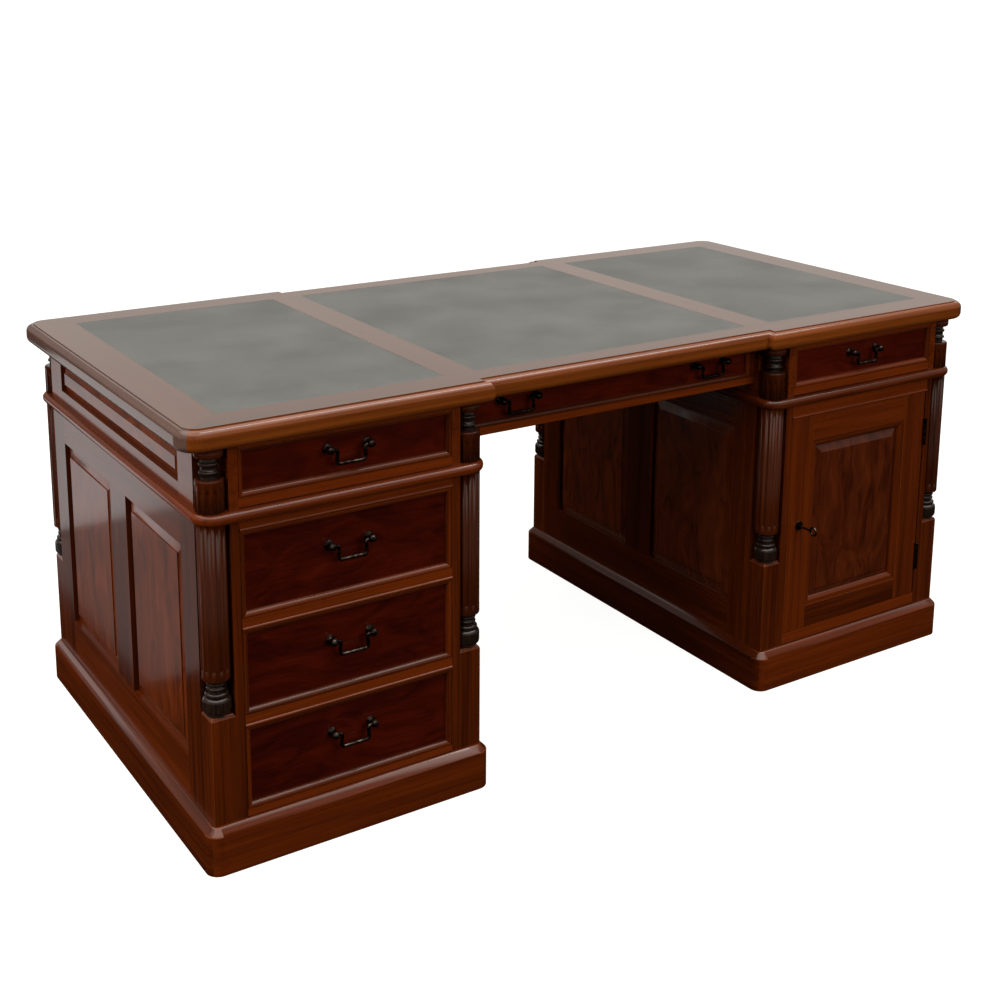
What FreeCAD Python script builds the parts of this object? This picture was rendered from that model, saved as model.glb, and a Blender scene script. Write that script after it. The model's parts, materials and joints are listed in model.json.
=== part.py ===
"""A mahogany partners desk with a leather-lined top, drawn in millimetres.

+X runs along the desk's length, +Y from the front sitter to the one who faces them, +Z up from the floor.
The two long sides are alike: everything at the back is the front turned half a turn about the middle.
"""
import FreeCAD
import Part
import math
import os

Vector = FreeCAD.Vector
MIDDLE = Vector(0, 0, 0)
RIGHT = Vector(1, 0, 0)
BACK = Vector(0, 1, 0)
UP = Vector(0, 0, 1)
RIGHT_ANGLE = 90
DIAGONAL = math.sqrt(1 / 2)  # a quarter round's middle, as a share of its radius

# Whole desk
desk_width = 1812.0
desk_depth = 880.0
front_overhang = 18.0  # of the top past the pedestal fronts
end_overhang = 38.0  # of the top past the pedestal ends

# Top
top_thickness = 39.0
nose_drop = 2.0  # from the flat border down to the rounded nose
nose_round = 13.0  # at the nose's upper and lower edge
nose_quirk = 1.0  # narrow ledge between nose and border
top_corner_radius = 40.0
long_border = 78.0  # outermost nose to leather along the long edges
end_border = 88.0
break_step = 16.0  # the middle of each long edge stands this far back
crossbar_width = 67.0
crossbar_shift = 6.5  # crossbar's middle line, outward from the pedestal's inner face
leather_thickness = 3.0

# Frieze, the band of drawers under the top
frieze_rail = 18.0
frieze_opening = 84.0
frieze_top_rail = 5.5
end_low_rail = 25.0
end_high_rail = 27.0
centre_setback = 55.0  # the middle drawers stand this far behind the pedestal fronts
centre_lift = 23.0  # underside of the middle above the capping boards
centre_rail = 16.0
centre_stile = 12.0
centre_rail_depth = 40.0
dust_board = 6.0

# Pedestals
pedestal_width = 520.0
notch = 43.0  # square recess at each corner for the column
stile_width = 17.0
side_stile = 65.0
post_leg = 20.0  # post behind the notch
frame_thickness = 22.0
side_low_rail = 81.0
side_high_rail = 64.0
muntin = 84.0
bottom_rail = 14.0
drawer_opening = 151.0
drawer_rail = 21.0
top_rail = 19.0
rail_round = 4.0  # lower front arris of the plain rails
rail_bead = 2.8  # radius of the bead along the drawer rails
partition = 18.0
cap_thickness = 20.0
cap_projection = 14.0
cap_corner_radius = 40.0
cap_round_share = 0.46

# Plinths
plinth_height = 72.0
plinth_bevel = 12.0
plinth_board = 24.0
plinth_projection = 15.5
plinth_corner_radius = 24.0

# Raised panels, depths measured back from the frame's face
panel_field = 2.0
panel_shoulder = 4.0
panel_edge = 10.0
panel_back = 18.0
panel_bevel = 24.0
end_panel_bevel = 16.0

# Corner columns
column_radius = 24.0
column_clearance = 0.4  # between the shaft and the notch's faces
flute_count = 12
flute_radius = 4.8
flute_depth = 2.2
flute_margin = 22.0  # from the shaft's end to the middle of a flute's rounded end
neck_radius = 14.0
ring_radius = 17.0
ring_height = 6.0
ring_shares = (0.3, 0.7)
shoulder_height = 4.0
block_size = 43.0
block_height = 195.0
block_slope = 5.0
block_slope_run = 3.0
foot_height = 3.0
foot_radius = 18.0
torus_height = 30.0
torus_round = 8.0
bead_height = 8.0
low_neck = 21.0
upper_shaft = 56.0
upper_neck = 35.0
capital_round = 5.0

# Cupboards
bottom_board = 12.0
shelf_thickness = 14.0
shelf_height = 250.0  # above the cupboard bottom
shelf_setback = 4.0  # shelf's edge behind the posts
cleat_width = 18.0
cleat_height = 16.0

# Drawers, depths measured back from the drawer's face
drawer_gap = 1.0  # all round the front
front_sink = 8.0
front_thickness = 22.0
moulding_lip = 1.5
moulding_width = 9.0
moulding_fall = 7.0
box_gap = 1.0  # beside the drawer box
box_board = 10.0
box_bottom = 6.0
bottom_rise = 8.0
head_room = 12.0
back_room = 23.0  # between the closed drawer and the partition
runner_drop = 16.0
runner_reach = 13.0  # runner past the opening's edge
runner_clearance = 0.3
guide_height = 24.0

# Handles
post_spacing = 76.0
pedestal_handle_rise = 17.0  # handle posts above the drawer's middle
frieze_handle_rise = 11.5
centre_handle_inset = 106.0  # handle from the end of the middle drawer's opening
rose_radius = 8.5
rose_margin = 0.3  # rose under the middle drawers' upper moulding
rose_edge = 1.2
rose_height = 3.5
stem_radius = 4.6
knob_radius = 7.2
pivot_height = 15.0  # of the bail's axis off the sunk field
pin_radius = 2.0
pin_clearance = 0.05
pin_depth = 5.5
socket_depth = 6.5
bail_radius = 3.3
bail_start = 1.0  # bail's thick part off the knob
bail_lead = 4.6
bail_drop = 25.0
bail_bar = 55.0
bail_shoulder = 4.0
bail_corner = 6.0

# Doors
door_sill = 12.0  # door opening's foot above the lowest drawer's
door_head = 10.0  # door opening's top below the highest drawer's
door_gap = 1.0
door_thickness = 22.0
door_stile = 61.0
door_high_rail = 54.0
door_low_rail = 48.0
door_bevel = 15.0
door_moulding = 17.0
door_moulding_lip = 3.0
door_moulding_top = 1.5
door_moulding_fall = 8.0

# Door hinges
hinge_height = 60.0
hinge_inset = 60.0
leaf_thickness = 1.2
leaf_width = 18.0
leaf_clearance = 0.4
knuckle_radius = 3.6
knuckle_relief = 0.9
knuckle_gap = 0.3
hinge_pin_radius = 1.8
hinge_pin_clearance = 0.05

# Locks and keys
lock_inset = 2.0
lock_width = 50.0
lock_depth = 12.0
lock_below = 14.0
lock_above = 30.0
lock_wall = 2.0
key_inset = 32.0  # key from the door's closing edge
key_radius = 2.5
key_clearance = 0.05
key_shank = 34.0  # shank standing out of the door
bow_radius = 8.0
bow_wire = 2.2
bit_length = 7.8
bit_thickness = 2.5
ward_radius = 8.6
escutcheon_radius = 10.0
escutcheon_thickness = 1.5
escutcheon_clearance = 0.6
bolt_rise = 10.0
bolt_height = 14.0
bolt_thickness = 6.0
bolt_length = 34.0
bolt_shy = 0.5
bolt_clearance = 0.3
mortise_depth = 10.0
mortise_clearance = 0.6

overrun = 5.0  # how far a cut runs past the face it opens
hair = 0.001

# Places that follow from the sizes
half_width = desk_width / 2
half_depth = desk_depth / 2
face_y = half_depth - front_overhang
centre_y = face_y - centre_setback
pedestal_outer = half_width - end_overhang
pedestal_inner = pedestal_outer - pedestal_width
pedestal_middle = pedestal_outer - pedestal_width / 2
opening_inset = notch + stile_width
opening_width = pedestal_width - 2 * opening_inset
post_depth = notch + post_leg
panel_y = face_y - notch - side_stile
case_base = plinth_height + plinth_bevel
drawer_levels = [case_base + bottom_rail + row * (drawer_opening + drawer_rail) for row in range(3)]
drawer_top = drawer_levels[2] + drawer_opening
pedestal_top = drawer_top + top_rail
frieze_base = pedestal_top + cap_thickness
frieze_level = frieze_base + frieze_rail
frieze_head = frieze_level + frieze_opening
frieze_top = frieze_head + frieze_top_rail
centre_base = frieze_base + centre_lift
centre_level = centre_base + centre_rail
centre_opening = frieze_head - centre_level
centre_width = 2 * (pedestal_inner - centre_stile)
centre_handle_x = centre_width / 2 - centre_handle_inset
centre_handle_rise = centre_opening / 2 - drawer_gap - moulding_width - rose_radius - rose_margin
desk_height = frieze_top + top_thickness
leather_base = desk_height - leather_thickness
leather_x = half_width - end_border
leather_y = half_depth - long_border
crossbar_x = pedestal_inner + crossbar_shift
nose_band = nose_round + nose_quirk
break_x = pedestal_inner - front_overhang
corner_x = half_width - top_corner_radius
corner_y = half_depth - top_corner_radius
flat_corner = top_corner_radius - nose_band
block_top = case_base + block_height
hinge_gap = 2 * leaf_thickness + leaf_clearance
door_left = pedestal_inner + opening_inset + door_gap
door_right = pedestal_outer - opening_inset - hinge_gap
door_base = drawer_levels[0] + door_sill
door_top = drawer_top - door_head
door_low = door_base + door_gap
door_high = door_top - door_gap
door_back = door_thickness - face_y
hinge_x = door_right + hinge_gap / 2
hinge_y = -face_y - knuckle_radius - knuckle_relief
key_x = door_left + key_inset
key_z = (door_low + door_high) / 2
bolt_x = door_left + lock_inset + bolt_shy
bolt_y = door_back + (lock_depth - bolt_thickness) / 2
bolt_z = key_z + bolt_rise


def box(one, other):
    """A block between two opposite corners, given in any order."""
    low = Vector(*(min(pair) for pair in zip(one, other)))
    size = Vector(*(max(pair) for pair in zip(one, other))) - low
    return Part.makeBox(size.x, size.y, size.z, low)


def prism(corners, direction):
    """A flat outline pushed along a direction."""
    return Part.Face(Part.makePolygon(corners + corners[:1])).extrude(direction)


def joined(shapes):
    """Touching shapes made one solid without seams."""
    return shapes[0].fuse(shapes[1:]).removeSplitter().Solids[0]


def half_turn(solids):
    """The same solids on the opposite long side."""
    return [solid.rotated(MIDDLE, UP, 180) for solid in solids]


def both_sides(solids):
    """Front solids together with their copies at the back."""
    return solids + half_turn(solids)


def stand_up(solids):
    """Turns pieces drawn lying on their backs to face the front sitter."""
    return [solid.rotated(MIDDLE, RIGHT, RIGHT_ANGLE) for solid in solids]


def moved(solids, x, y, z):
    """Solids carried to a place."""
    return [solid.translated(Vector(x, y, z)) for solid in solids]


def rounded(shape, radius, chosen):
    """Rounds the edges whose bounding box passes the test."""
    return shape.makeFillet(radius, [edge for edge in shape.Edges if chosen(edge.BoundBox)])


def profile(place, steps):
    """A flat face through steps; a step is a point or, for an arc, its middle point and its end point."""
    start = place(*steps[0])
    here = start
    edges = []
    for step in steps[1:]:
        there = place(*step[-2:])
        if len(step) == 2:
            edges.append(Part.makeLine(here, there))
        else:
            edges.append(Part.Arc(here, place(*step[:2]), there).toShape())
        here = there
    edges.append(Part.makeLine(here, start))
    return Part.Face(Part.Wire(edges))


def turned(base, steps):
    """A turned piece about +Z, its (radius, height) steps going out from the axis."""
    face = profile(lambda radius, height: Vector(radius, 0, height), [(0, base), *steps])
    return face.revolve(MIDDLE, UP, 360)


def ovolo(near, far, high, low):
    """The arc step of a convex moulding, from its lip inward and down."""
    return (near + DIAGONAL * (far - near), low + DIAGONAL * (high - low), far, low)


def mitred_ring(length, breadth, section):
    """Four mitred strips round a rectangle lying flat; section steps are (inward, up)."""
    wide = max(step[-2] for step in section)
    low = min(step[-1] for step in section)
    high = max(step[-1] for step in section)
    strips = []
    for quarter in range(4):
        along, across = (length, breadth) if quarter % 2 == 0 else (breadth, length)
        end, edge = along / 2, -across / 2
        face = profile(lambda inward, up: Vector(-end, edge + inward, up), section)
        plan = [
            Vector(-end, edge, low),
            Vector(end, edge, low),
            Vector(end - wide, edge + wide, low),
            Vector(wide - end, edge + wide, low),
        ]
        strip = face.extrude(Vector(along, 0, 0)).common(prism(plan, Vector(0, 0, high - low))).Solids[0]
        strips.append(strip.rotated(MIDDLE, UP, RIGHT_ANGLE * quarter))
    return strips


def rectangle(length, breadth, up):
    """A rectangular wire lying flat about the middle."""
    x, y = length / 2, breadth / 2
    corners = [Vector(-x, -y, up), Vector(x, -y, up), Vector(x, y, up), Vector(-x, y, up)]
    return Part.makePolygon(corners + corners[:1])


def raised_panel(length, breadth, bevel):
    """A raised and fielded panel lying flat, its frame's face at height zero."""
    field = (length - 2 * bevel, breadth - 2 * bevel)
    wires = [
        rectangle(length, breadth, -panel_back),
        rectangle(length, breadth, -panel_edge),
        rectangle(*field, -panel_shoulder),
        rectangle(*field, -panel_field),
    ]
    return Part.makeLoft(wires, True, True)


def pedestal_faces():
    """The four pedestal side faces: where each stands in X and which way leads into the pedestal."""
    return ((-pedestal_outer, 1), (-pedestal_inner, -1), (pedestal_inner, 1), (pedestal_outer, -1))


def nose_section(place):
    """Section of the rounded nose; place turns (inward, up) into a point."""
    low, high = frieze_top, desk_height - nose_drop
    bend = nose_round * (1 - DIAGONAL)
    steps = (
        (nose_band, low),
        (nose_round, low),
        (bend, low + bend, 0, low + nose_round),
        (0, high - nose_round),
        (bend, high - bend, nose_round, high),
        (nose_band, high),
    )
    return profile(place, steps)


def mitred_nose(section, travel, plan):
    """A nose run pushed along its edge and trimmed to its mitred plan."""
    corners = [Vector(x, y, frieze_top) for x, y in plan]
    return section.extrude(travel).common(prism(corners, Vector(0, 0, top_thickness)))


def corner_nose(section, angle):
    """Half of the rounded corner nose at the right front."""
    return section.revolve(Vector(corner_x, -corner_y, 0), UP, angle)


def border_flat(points, arcs):
    """A border rail's flat part; arcs maps the index of an arc's first point to the angle of its middle."""
    edges = []
    for index, (x, y) in enumerate(points):
        here = Vector(x, y, frieze_top)
        there = Vector(*points[(index + 1) % len(points)], frieze_top)
        if index in arcs:
            turn = math.radians(arcs[index])
            side = math.copysign(corner_y, y)
            x, y = flat_corner * math.cos(turn), flat_corner * math.sin(turn)
            bend = Vector(corner_x + x, side + y, frieze_top)
            edges.append(Part.Arc(here, bend, there).toShape())
        else:
            edges.append(Part.makeLine(here, there))
    return Part.Face(Part.Wire(edges)).extrude(Vector(0, 0, top_thickness))


def long_rail():
    """The front border rail with its nose, stepping back between the pedestals."""
    front = -half_depth
    middle = front + break_step
    inner = break_x + nose_band
    mitre = flat_corner * DIAGONAL
    flat = border_flat(
        [
            (0, -leather_y),
            (leather_x, -leather_y),
            (corner_x + mitre, -corner_y - mitre),
            (corner_x, front + nose_band),
            (inner, front + nose_band),
            (inner, middle + nose_band),
            (0, middle + nose_band),
        ],
        {2: -RIGHT_ANGLE * 3 / 4},
    )
    side_run = mitred_nose(
        nose_section(lambda e, z: Vector(break_x, front + e, z)),
        Vector(corner_x - break_x, 0, 0),
        [(break_x, front), (corner_x, front), (corner_x, front + nose_band), (inner, front + nose_band)],
    )
    step_run = mitred_nose(
        nose_section(lambda e, z: Vector(break_x + e, front, z)),
        Vector(0, break_step + nose_band, 0),
        [(break_x, front), (inner, front + nose_band), (inner, middle + nose_band), (break_x, middle)],
    )
    middle_run = mitred_nose(
        nose_section(lambda e, z: Vector(0, middle + e, z)),
        Vector(inner, 0, 0),
        [(0, middle), (break_x, middle), (inner, middle + nose_band), (0, middle + nose_band)],
    )
    corner = corner_nose(nose_section(lambda e, z: Vector(corner_x, front + e, z)), RIGHT_ANGLE / 2)
    right_half = joined([flat, side_run, step_run, middle_run, corner])
    return joined([right_half, right_half.mirror(MIDDLE, RIGHT)])


def end_rail():
    """The right border rail with its nose."""
    edge = half_width - nose_band
    mitre = flat_corner * DIAGONAL
    flat = border_flat(
        [
            (leather_x, leather_y),
            (leather_x, -leather_y),
            (corner_x + mitre, -corner_y - mitre),
            (edge, -corner_y),
            (edge, corner_y),
            (corner_x + mitre, corner_y + mitre),
        ],
        {2: -RIGHT_ANGLE / 4, 4: RIGHT_ANGLE / 4},
    )
    section = nose_section(lambda e, z: Vector(half_width - e, -corner_y, z))
    run = section.extrude(Vector(0, 2 * corner_y, 0))
    corner = corner_nose(section, -RIGHT_ANGLE / 2)
    return joined([flat, run, corner, corner.mirror(MIDDLE, BACK)])


def crossbars():
    """Two flat bars across the writing surface, level with the leather."""
    solids = []
    for side in (-1, 1):
        near = side * (crossbar_x - crossbar_width / 2)
        far = side * (crossbar_x + crossbar_width / 2)
        solids.append(box((near, -leather_y, leather_base), (far, leather_y, desk_height)))
    return solids


def leather_panels():
    """One leather between the crossbars and one at each end."""
    inner = crossbar_x - crossbar_width / 2
    outer = crossbar_x + crossbar_width / 2
    spans = ((-leather_x, -outer), (-inner, inner), (outer, leather_x))
    return [box((low, -leather_y, leather_base), (high, leather_y, desk_height)) for low, high in spans]


def corner_posts(base, top):
    """L-shaped posts behind the eight column notches."""
    outline = (
        (0, notch),
        (notch, notch),
        (notch, 0),
        (opening_inset, 0),
        (opening_inset, post_depth),
        (frame_thickness, post_depth),
        (frame_thickness, notch + side_stile),
        (0, notch + side_stile),
    )
    solids = []
    for x, inward in pedestal_faces():
        for side in (-1, 1):
            corners = [Vector(x + inward * u, side * (face_y - v), base) for u, v in outline]
            solids.append(prism(corners, Vector(0, 0, top - base)))
    return solids


def bolt_mortise():
    """The pocket in the right pedestal's post that takes the front door's bolt."""
    edge = pedestal_inner + opening_inset
    low = (edge - mortise_depth, bolt_y - mortise_clearance, bolt_z - mortise_clearance)
    far_y = bolt_y + bolt_thickness + mortise_clearance
    far_z = bolt_z + bolt_height + mortise_clearance
    return box(low, (edge + overrun, far_y, far_z))


def arris_rail(x_near, x_far, y_front, depth, low, high):
    """A rail across the front with its lower front arris rounded."""
    rail = box((x_near, y_front, low), (x_far, y_front + depth, high))
    return rounded(rail, rail_round, lambda b: b.YMax < y_front + hair and b.ZMax < low + hair)


def beaded_rail(x_near, x_far, low, high):
    """A pedestal rail with a bead along its lower front edge."""
    front, back = -face_y, post_depth - face_y
    steps = (
        (back, low),
        (front, low),
        (front - rail_bead, low + rail_bead, front, low + 2 * rail_bead),
        (front, high),
        (back, high),
    )
    return profile(lambda y, z: Vector(x_near, y, z), steps).extrude(Vector(x_far - x_near, 0, 0))


def pedestal_frames():
    """Posts, drawer rails, side rails and muntins of both pedestals."""
    mortises = both_sides([bolt_mortise()])
    solids = [post.cut(mortises).Solids[0] for post in corner_posts(case_base, pedestal_top)]
    left = -pedestal_outer + opening_inset
    right = -pedestal_inner - opening_inset
    spans = [(level - drawer_rail, level) for level in drawer_levels[1:]]
    rails = [beaded_rail(left, right, low, high) for low, high in spans]
    bays = ((left, right, drawer_levels[0], drawer_top), (-right, -left, door_base, door_top))
    for near, far, foot, head in bays:
        rails.append(arris_rail(near, far, -face_y, post_depth, case_base, foot))
        rails.append(beaded_rail(near, far, head, pedestal_top))
    solids += both_sides(rails)
    for x, inward in pedestal_faces():
        inside = x + inward * frame_thickness
        low = case_base + side_low_rail
        high = pedestal_top - side_high_rail
        solids.append(box((x, -panel_y, case_base), (inside, panel_y, low)))
        solids.append(box((x, -panel_y, high), (inside, panel_y, pedestal_top)))
        solids.append(box((x, -muntin / 2, low), (inside, muntin / 2, high)))
    return solids


def frieze_frame():
    """Posts, rails, end frames, inner boards and partitions of the frieze."""
    solids = corner_posts(frieze_base, frieze_top)
    front = []
    for side in (-1, 1):
        left = side * pedestal_middle - opening_width / 2
        right = side * pedestal_middle + opening_width / 2
        front.append(arris_rail(left, right, -face_y, post_depth, frieze_base, frieze_level))
        front.append(box((left, -face_y, frieze_head), (right, post_depth - face_y, frieze_top)))
        near = (side * pedestal_inner, -centre_y, centre_level)
        far = (side * (pedestal_inner - centre_stile), centre_rail_depth - centre_y, frieze_head)
        front.append(box(near, far))
    inner = pedestal_inner
    front.append(arris_rail(-inner, inner, -centre_y, centre_rail_depth, centre_base, centre_level))
    front.append(box((-inner, -centre_y, frieze_head), (inner, centre_rail_depth - centre_y, frieze_top)))
    solids += both_sides(front)
    for x, inward in pedestal_faces():
        inside = x + inward * frame_thickness
        if abs(x) > pedestal_middle:
            low = frieze_base + end_low_rail
            high = frieze_top - end_high_rail
            solids.append(box((x, -panel_y, frieze_base), (inside, panel_y, low)))
            solids.append(box((x, -panel_y, high), (inside, panel_y, frieze_top)))
        else:
            solids.append(box((x, -panel_y, frieze_base), (inside, panel_y, frieze_top)))
    return solids


def raised_panels():
    """Two panels in each pedestal side and one long panel at each end of the frieze."""
    solids = []
    low = case_base + side_low_rail
    high = pedestal_top - side_high_rail
    for x, inward in pedestal_faces():
        reach = panel_y - muntin / 2
        upright = stand_up([raised_panel(reach, high - low, panel_bevel)])
        facing = [panel.rotated(MIDDLE, UP, -RIGHT_ANGLE * inward) for panel in upright]
        for side in (-1, 1):
            solids += moved(facing, x, side * (panel_y + muntin / 2) / 2, (low + high) / 2)
        if abs(x) > pedestal_middle:
            bottom = frieze_base + end_low_rail
            top = frieze_top - end_high_rail
            upright = stand_up([raised_panel(2 * panel_y, top - bottom, end_panel_bevel)])
            facing = [panel.rotated(MIDDLE, UP, -RIGHT_ANGLE * inward) for panel in upright]
            solids += moved(facing, x, 0, (bottom + top) / 2)
    return solids


def inner_boards():
    """Partitions between the two sitters' sides, the underside over the kneehole and the cupboard bottoms."""
    near = pedestal_inner + frame_thickness
    far = pedestal_outer - frame_thickness
    half = partition / 2
    solids = []
    for side in (-1, 1):
        solids.append(box((side * near, -half, case_base), (side * far, half, pedestal_top)))
        solids.append(box((side * near, -half, frieze_base), (side * far, half, frieze_top)))
    inner = pedestal_inner
    reach = centre_y - centre_rail_depth
    solids.append(box((-inner, -reach, centre_base), (inner, reach, centre_base + dust_board)))
    solids.append(box((-inner, -half, centre_base + dust_board), (inner, half, frieze_top)))
    floor = box((near, post_depth - face_y, case_base), (far, -half, case_base + bottom_board))
    return solids + both_sides([floor])


def cupboard_shelves():
    """A shelf on two cleats in each cupboard."""
    near = pedestal_inner + frame_thickness
    far = pedestal_outer - frame_thickness
    front = post_depth + shelf_setback - face_y
    base = case_base + bottom_board + shelf_height
    solids = [box((near, front, base), (far, -partition / 2, base + shelf_thickness))]
    for wall, inward in ((near, 1), (far, -1)):
        low = (wall, front, base - cleat_height)
        solids.append(box(low, (wall + inward * cleat_width, -partition / 2, base)))
    return both_sides(solids)


def runner(wall, inward, edge, level, drop, front):
    """A drawer runner with a guide lip, from the rail back to the partition."""
    reach = edge + inward * runner_reach
    outline = (
        (wall, level - drop),
        (reach, level - drop),
        (reach, level),
        (edge, level),
        (edge, level + guide_height),
        (wall, level + guide_height),
    )
    corners = [Vector(x, front, z) for x, z in outline]
    return prism(corners, Vector(0, -partition / 2 - front, 0))


def drawer_runners():
    """Runners on both sides of every drawer."""
    solids = []
    for x, inward in pedestal_faces():
        wall = x + inward * frame_thickness
        edge = x + inward * opening_inset
        rows = [(frieze_level, frieze_rail)]
        if x < 0:
            rows += [(level, runner_drop) for level in drawer_levels]
        solids += [runner(wall, inward, edge, level, drop, post_depth - face_y) for level, drop in rows]
        if abs(x) < pedestal_middle:
            edge = x - inward * centre_stile
            drop = centre_rail - dust_board
            solids.append(runner(x, -inward, edge, centre_level, drop, centre_rail_depth - centre_y))
    return both_sides(solids)


def cap_board():
    """A pedestal's capping board with rounded corners and a half-round edge."""
    x = pedestal_width / 2 + cap_projection
    y = face_y + cap_projection
    board = box((-x, -y, pedestal_top), (x, y, frieze_base))
    board = rounded(board, cap_corner_radius, lambda b: b.ZLength > hair)
    return rounded(board, cap_thickness * cap_round_share, lambda b: b.ZLength < hair)


def plinth():
    """A pedestal's four mitred plinth boards with bevelled tops and rounded corners."""
    length = pedestal_width + 2 * plinth_projection
    breadth = 2 * (face_y + plinth_projection)
    block = box((-length / 2, -breadth / 2, 0), (length / 2, breadth / 2, case_base))
    block = rounded(block, plinth_corner_radius, lambda b: b.ZLength > hair)
    rim = [edge for edge in block.Edges if edge.BoundBox.ZMin > case_base - hair]
    block = block.makeChamfer(plinth_bevel, rim)
    section = ((0, 0), (0, case_base), (plinth_board, case_base), (plinth_board, 0))
    return [board.common(block).Solids[0] for board in mitred_ring(length, breadth, section)]


def fluted(column, low, high):
    """Cuts round-ended flutes into a shaft."""
    centre = column_radius + flute_radius - flute_depth
    cutters = []
    for index in range(flute_count):
        turn = 2 * math.pi * index / flute_count
        x, y = centre * math.cos(turn), centre * math.sin(turn)
        cutters.append(Part.makeCylinder(flute_radius, high - low, Vector(x, y, low)))
        cutters.append(Part.makeSphere(flute_radius, Vector(x, y, low)))
        cutters.append(Part.makeSphere(flute_radius, Vector(x, y, high)))
    return column.cut(cutters).Solids[0]


def neck_steps(low, high):
    """Waisted neck with two rings, as turning steps."""
    steps = [(neck_radius, low)]
    for share in ring_shares:
        middle = low + share * (high - low)
        ring = ring_height / 2
        steps.append((neck_radius, middle - ring))
        steps.append((ring_radius, middle, neck_radius, middle + ring))
    return [*steps, (neck_radius, high)]


def long_column():
    """The fluted column beside a pedestal, from its block to the capping board."""
    foot = block_top + foot_height
    waist = foot + torus_height
    bead = waist + bead_height
    shaft = bead + low_neck
    bend = shoulder_height * (1 - DIAGONAL)
    swell = torus_round * (1 - DIAGONAL)
    root = column_radius - torus_round
    steps = [
        (foot_radius, block_top),
        (foot_radius, foot),
        (root, foot),
        (column_radius - swell, foot + swell, column_radius, foot + torus_round),
        (column_radius, waist - torus_round),
        (column_radius - swell, waist - swell, root, waist),
        (root + bead_height / 2, (waist + bead) / 2, root, bead),
        *neck_steps(bead, shaft),
        (column_radius - shoulder_height, shaft),
        (column_radius - bend, shaft + bend, column_radius, shaft + shoulder_height),
        (column_radius, pedestal_top),
        (0, pedestal_top),
    ]
    return fluted(turned(block_top, steps), shaft + flute_margin, pedestal_top + overrun)


def short_column():
    """The fluted column beside the frieze, from the capping board to the top."""
    shaft = frieze_base + upper_shaft
    head = shaft + upper_neck
    bend = shoulder_height * (1 - DIAGONAL)
    cap_bend = capital_round * (1 - DIAGONAL)
    steps = [
        (column_radius, frieze_base),
        (column_radius, shaft - shoulder_height),
        (column_radius - bend, shaft - bend, column_radius - shoulder_height, shaft),
        *neck_steps(shaft, head),
        (column_radius - capital_round, head),
        (column_radius - cap_bend, head + cap_bend, column_radius, head + capital_round),
        (column_radius, frieze_top),
        (0, frieze_top),
    ]
    return fluted(turned(frieze_base, steps), frieze_base - overrun, shaft - flute_margin)


def corner_columns():
    """Both columns at each of the eight pedestal corners."""
    pair = [long_column(), short_column()]
    inset = notch - column_radius - column_clearance
    solids = []
    for x, inward in pedestal_faces():
        for side in (-1, 1):
            solids += moved(pair, x + inward * inset, side * (face_y - inset), 0)
    return solids


def column_blocks():
    """Square blocks with sloped tops under the long columns."""
    top = block_size - 2 * block_slope_run
    wires = [
        rectangle(block_size, block_size, case_base),
        rectangle(block_size, block_size, block_top - block_slope),
        rectangle(top, top, block_top),
    ]
    block = [Part.makeLoft(wires, True, True)]
    inset = notch - block_size / 2
    solids = []
    for x, inward in pedestal_faces():
        for side in (-1, 1):
            solids += moved(block, x + inward * inset, side * (face_y - inset), 0)
    return solids


def drawer(width, height, length):
    """A drawer: front board, four mouldings, sides, back and bottom; the opening's lower edge is at zero."""
    front_x = width / 2 - drawer_gap
    front_height = height - 2 * drawer_gap
    section = (
        (0, -front_sink),
        (0, 0),
        (moulding_lip, 0),
        ovolo(moulding_lip, moulding_width, 0, -moulding_fall),
        (moulding_width, -front_sink),
    )
    solids = [box((-front_x, front_sink, drawer_gap), (front_x, front_thickness, height - drawer_gap))]
    solids += moved(stand_up(mitred_ring(2 * front_x, front_height, section)), 0, 0, height / 2)
    outer = width / 2 - box_gap
    inner = outer - box_board
    low, high = runner_clearance, height - head_room
    for side in (-1, 1):
        solids.append(box((side * inner, front_thickness, low), (side * outer, length, high)))
    solids.append(box((-inner, length - box_board, low), (inner, length, high)))
    floor = low + bottom_rise
    solids.append(box((-inner, front_thickness, floor), (inner, length - box_board, floor + box_bottom)))
    return solids


def handle_posts():
    """A handle's two knobs on roses, bored for the bail; the bail's axis passes the middle."""
    neck = pivot_height - math.sqrt(knob_radius**2 - stem_radius**2)
    steps = [
        (rose_radius, 0),
        (rose_radius, rose_edge),
        (stem_radius, rose_height),
        (stem_radius, neck),
        (knob_radius, pivot_height, 0, pivot_height + knob_radius),
    ]
    post = stand_up([turned(0, steps)])
    solids = []
    for side in (-1, 1):
        knob_x = side * post_spacing / 2
        start = Vector(knob_x - side * (knob_radius - socket_depth), 0, 0)
        socket = Part.makeCylinder(pin_radius + pin_clearance, socket_depth + overrun, start, RIGHT * -side)
        solids.append(moved(post, knob_x, pivot_height, 0)[0].cut(socket).Solids[0])
    return solids


def rounded_wire(points, radii):
    """A path through points with its corners rounded."""
    edges = []
    here = points[0]
    for before, corner, after, radius in zip(points, points[1:], points[2:], radii):
        back, ahead = (before - corner).normalize(), (after - corner).normalize()
        half = back.getAngle(ahead) / 2
        leave = corner + back * (radius / math.tan(half))
        arrive = corner + ahead * (radius / math.tan(half))
        bend = corner + (back + ahead).normalize() * (radius / math.sin(half) - radius)
        edges.append(Part.makeLine(here, leave))
        edges.append(Part.Arc(leave, bend, arrive).toShape())
        here = arrive
    edges.append(Part.makeLine(here, points[-1]))
    return Part.Wire(edges)


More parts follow.
